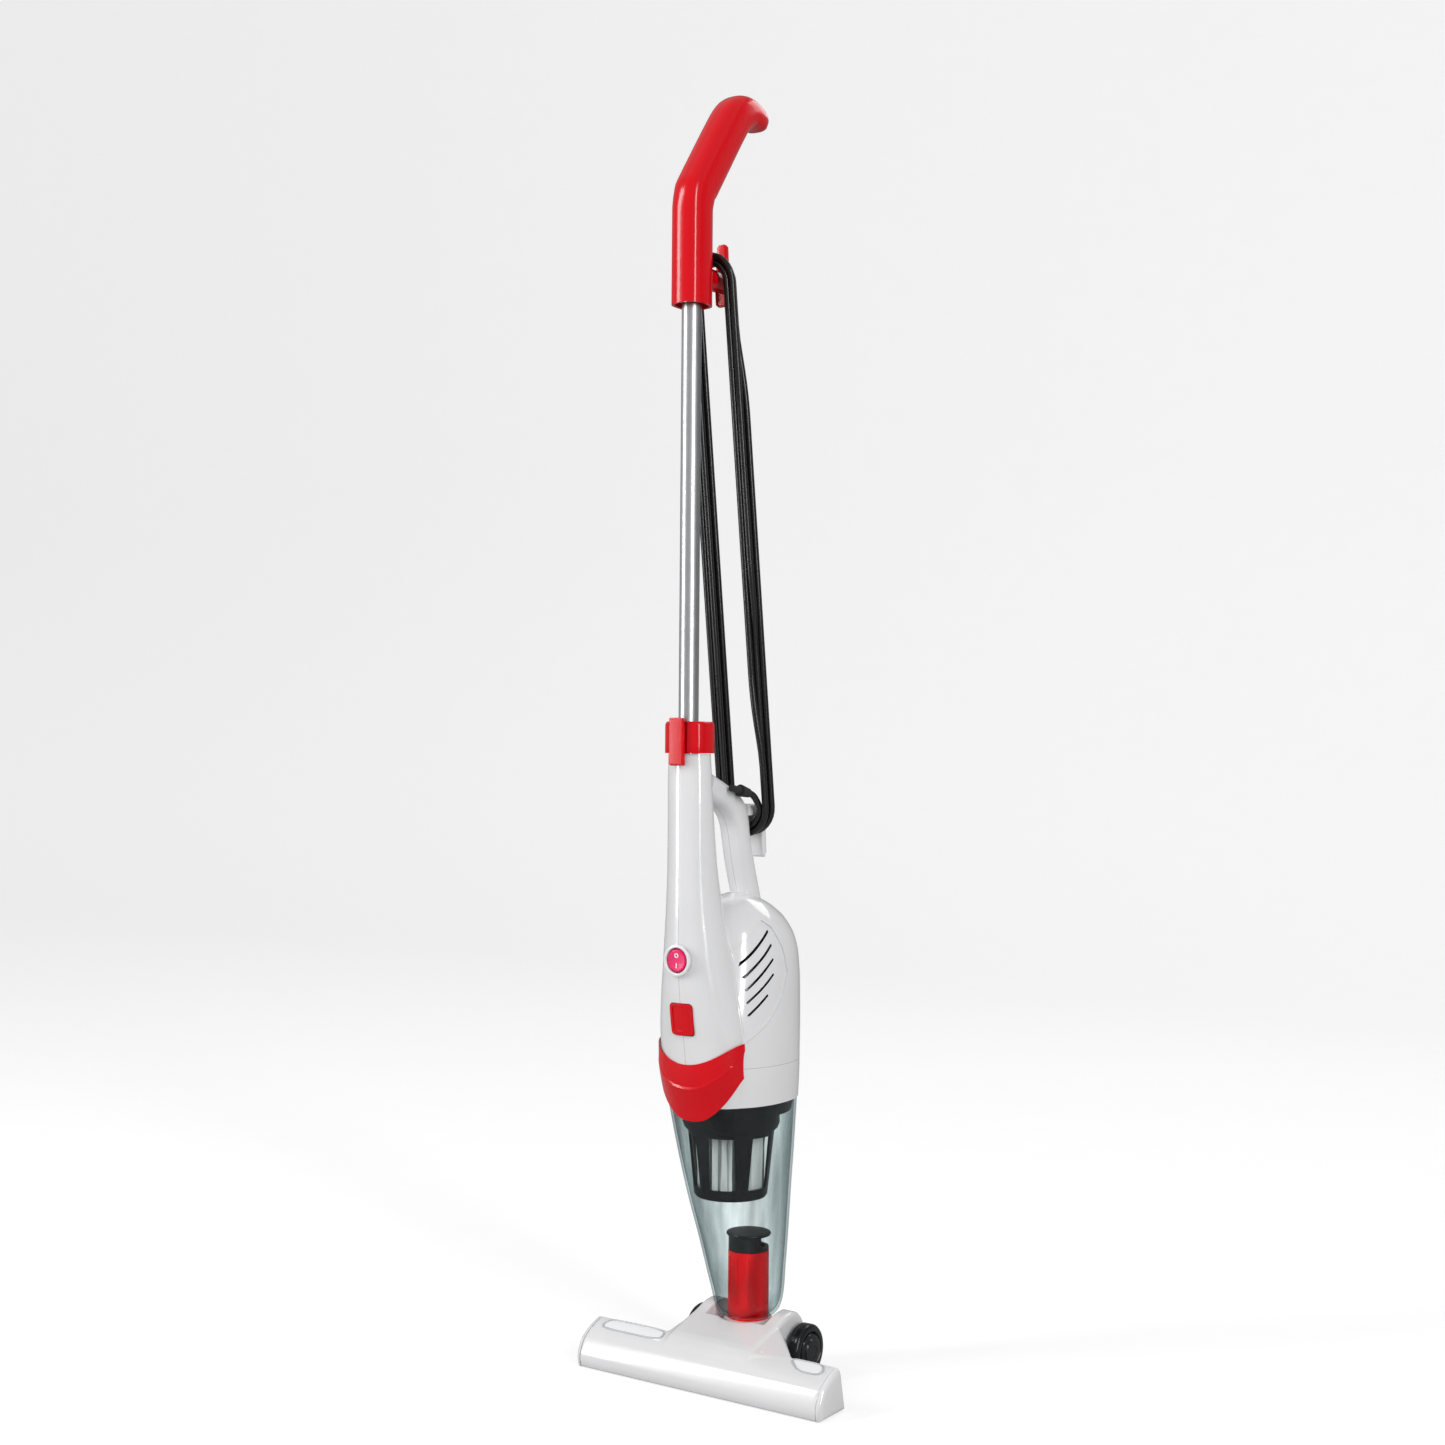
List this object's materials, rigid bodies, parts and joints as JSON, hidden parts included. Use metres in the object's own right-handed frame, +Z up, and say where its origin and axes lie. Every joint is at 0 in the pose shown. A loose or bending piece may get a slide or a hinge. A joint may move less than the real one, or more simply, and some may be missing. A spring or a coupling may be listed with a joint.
{
  "type": "upright vacuum cleaner",
  "caption": "Slim corded stick vacuum: reclining wheeled floor head, clear dust cup with filter, lift-off motor unit, metal stick tube, angled grip and cord wound on two hooks.",
  "frame": {"origin": "on the floor under the middle of the cleaner, cord and plug left out", "axes": "+Z up along the stick, -Y to the front of the floor head, +X to the user-facing right when seen from the front"},
  "size_m": [0.2524, 0.1549, 1.1181],
  "materials": {
    "white_plastic": "gloss white moulded plastic",
    "pale_panel": "milky translucent inlay",
    "red_plastic": "gloss red moulded plastic",
    "pink_switch": "bright pink-red rocker",
    "black_plastic": "black moulded plastic",
    "rubber": "soft black rubber",
    "clear_cup": "clear smoke-tinted plastic",
    "felt": "red pile strip",
    "filter_paper": "pleated off-white filter cloth",
    "foam": "open-cell exhaust foam",
    "satin_aluminium": "satin anodised",
    "steel": "plain bright steel",
    "brass": "plain brass",
    "cord_jacket": "semi-gloss black flexible jacket"
  },
  "bodies": {
    "floor_head": {"nozzle_shell": "white_plastic", "end_cap_left": "white_plastic", "end_cap_right": "white_plastic", "deck_panel_left": "pale_panel", "deck_panel_right": "pale_panel", "base_plate": "white_plastic", "bristle_strip": "black_plastic", "lint_pad": "felt", "wheel_pin_right": "steel", "wheel_pin_left": "steel"},
    "wheel_r": {"wheel_right": "black_plastic", "hub_cap_right": "black_plastic"},
    "wheel_l": {"wheel_left": "black_plastic", "hub_cap_left": "black_plastic"},
    "neck": {"neck_pivot": "white_plastic"},
    "cup": {"dust_cup": "clear_cup", "inlet_tube": "red_plastic", "inlet_deflector": "black_plastic"},
    "flap": {"inlet_flap": "black_plastic"},
    "filter": {"filter_ring": "black_plastic", "filter_basket": "black_plastic", "filter_pleats": "filter_paper", "filter_seal": "rubber"},
    "hand_unit": {"housing_right": "white_plastic", "housing_left": "white_plastic", "housing_screw_1": "steel", "housing_screw_2": "steel", "housing_screw_3": "steel", "front_badge": "red_plastic", "switch_bezel": "white_plastic", "switch_body": "black_plastic", "motor_bulkhead": "black_plastic", "fan_shroud": "black_plastic", "motor_can": "steel", "motor_mount": "rubber", "exhaust_foam_right": "foam", "exhaust_foam_left": "foam", "collar": "red_plastic", "stick_tube": "satin_aluminium", "handle_right": "red_plastic", "handle_left": "red_plastic", "handle_screw_1": "steel", "handle_screw_2": "steel", "hook_pin": "steel", "lower_cord_hook": "white_plastic", "strain_relief": "rubber", "cord_lead": "cord_jacket", "cord_hank": "cord_jacket", "cord_tail": "cord_jacket", "plug": "cord_jacket", "plug_blade_right": "brass", "plug_blade_left": "brass"},
    "switch": {"power_switch": "pink_switch"},
    "button": {"release_button": "red_plastic"},
    "latch": {"cup_latch": "black_plastic"},
    "tab": {"latch_tab": "red_plastic"},
    "hook": {"upper_cord_hook": "red_plastic"},
    "rotor": {"motor_shaft": "steel", "impeller": "satin_aluminium"}
  },
  "joints": [
    {"name": "neck_recline", "type": "hinge", "parent": "floor_head", "child": "neck", "pos_m": [0, 0.04855, 0.023], "axis": [-1, 0, 0], "range_deg": [0, 80]},
    {"name": "wheel_r_roll", "type": "hinge", "parent": "floor_head", "child": "wheel_r", "pos_m": [0.053, 0.04855, 0.023], "axis": [1, 0, 0], "continuous": true},
    {"name": "wheel_l_roll", "type": "hinge", "parent": "floor_head", "child": "wheel_l", "pos_m": [-0.053, 0.04855, 0.023], "axis": [1, 0, 0], "continuous": true},
    {"name": "cup_lift", "type": "slide", "parent": "neck", "child": "cup", "axis": [0, 0, 1], "range_m": [0, 0.06]},
    {"name": "flap_lift", "type": "hinge", "parent": "cup", "child": "flap", "pos_m": [0, 0.05935, 0.1178], "axis": [-1, 0, 0], "range_deg": [0, 50]},
    {"name": "filter_lift", "type": "slide", "parent": "cup", "child": "filter", "axis": [0, 0, 1], "range_m": [0, 0.1]},
    {"name": "body_lift", "type": "slide", "parent": "filter", "child": "hand_unit", "axis": [0, 0, 1], "range_m": [0, 0.05]},
    {"name": "switch_rock", "type": "hinge", "parent": "hand_unit", "child": "switch", "pos_m": [0, -0.07065, 0.368], "axis": [1, 0, 0], "range_deg": [-6, 6]},
    {"name": "release_press", "type": "slide", "parent": "hand_unit", "child": "button", "axis": [0, 1, 0], "range_m": [0, 0.003], "stiffness_N_per_m": 900, "springref_m": -0.001},
    {"name": "latch_swing", "type": "hinge", "parent": "hand_unit", "child": "latch", "pos_m": [0, -0.04495, 0.285], "axis": [-1, 0, 0], "range_deg": [0, 6.02]},
    {"name": "tab_press", "type": "hinge", "parent": "hand_unit", "child": "tab", "pos_m": [0, -0.07505, 0.532], "axis": [-1, 0, 0], "range_deg": [0, 4], "stiffness_Nm_per_rad": 0.6, "springref_deg": -1.15},
    {"name": "hook_swivel", "type": "hinge", "parent": "hand_unit", "child": "hook", "pos_m": [0, -0.02845, 0.948], "axis": [0, 1, 0], "range_deg": [0, 180]},
    {"name": "motor_spin", "type": "hinge", "parent": "hand_unit", "child": "rotor", "pos_m": [0, 0.01555, 0.3], "axis": [0, 0, 1], "continuous": true}
  ],
  "couplings": [
    {"joint": "latch_swing", "follows": "release_press", "rad_per_m": 35}
  ]
}
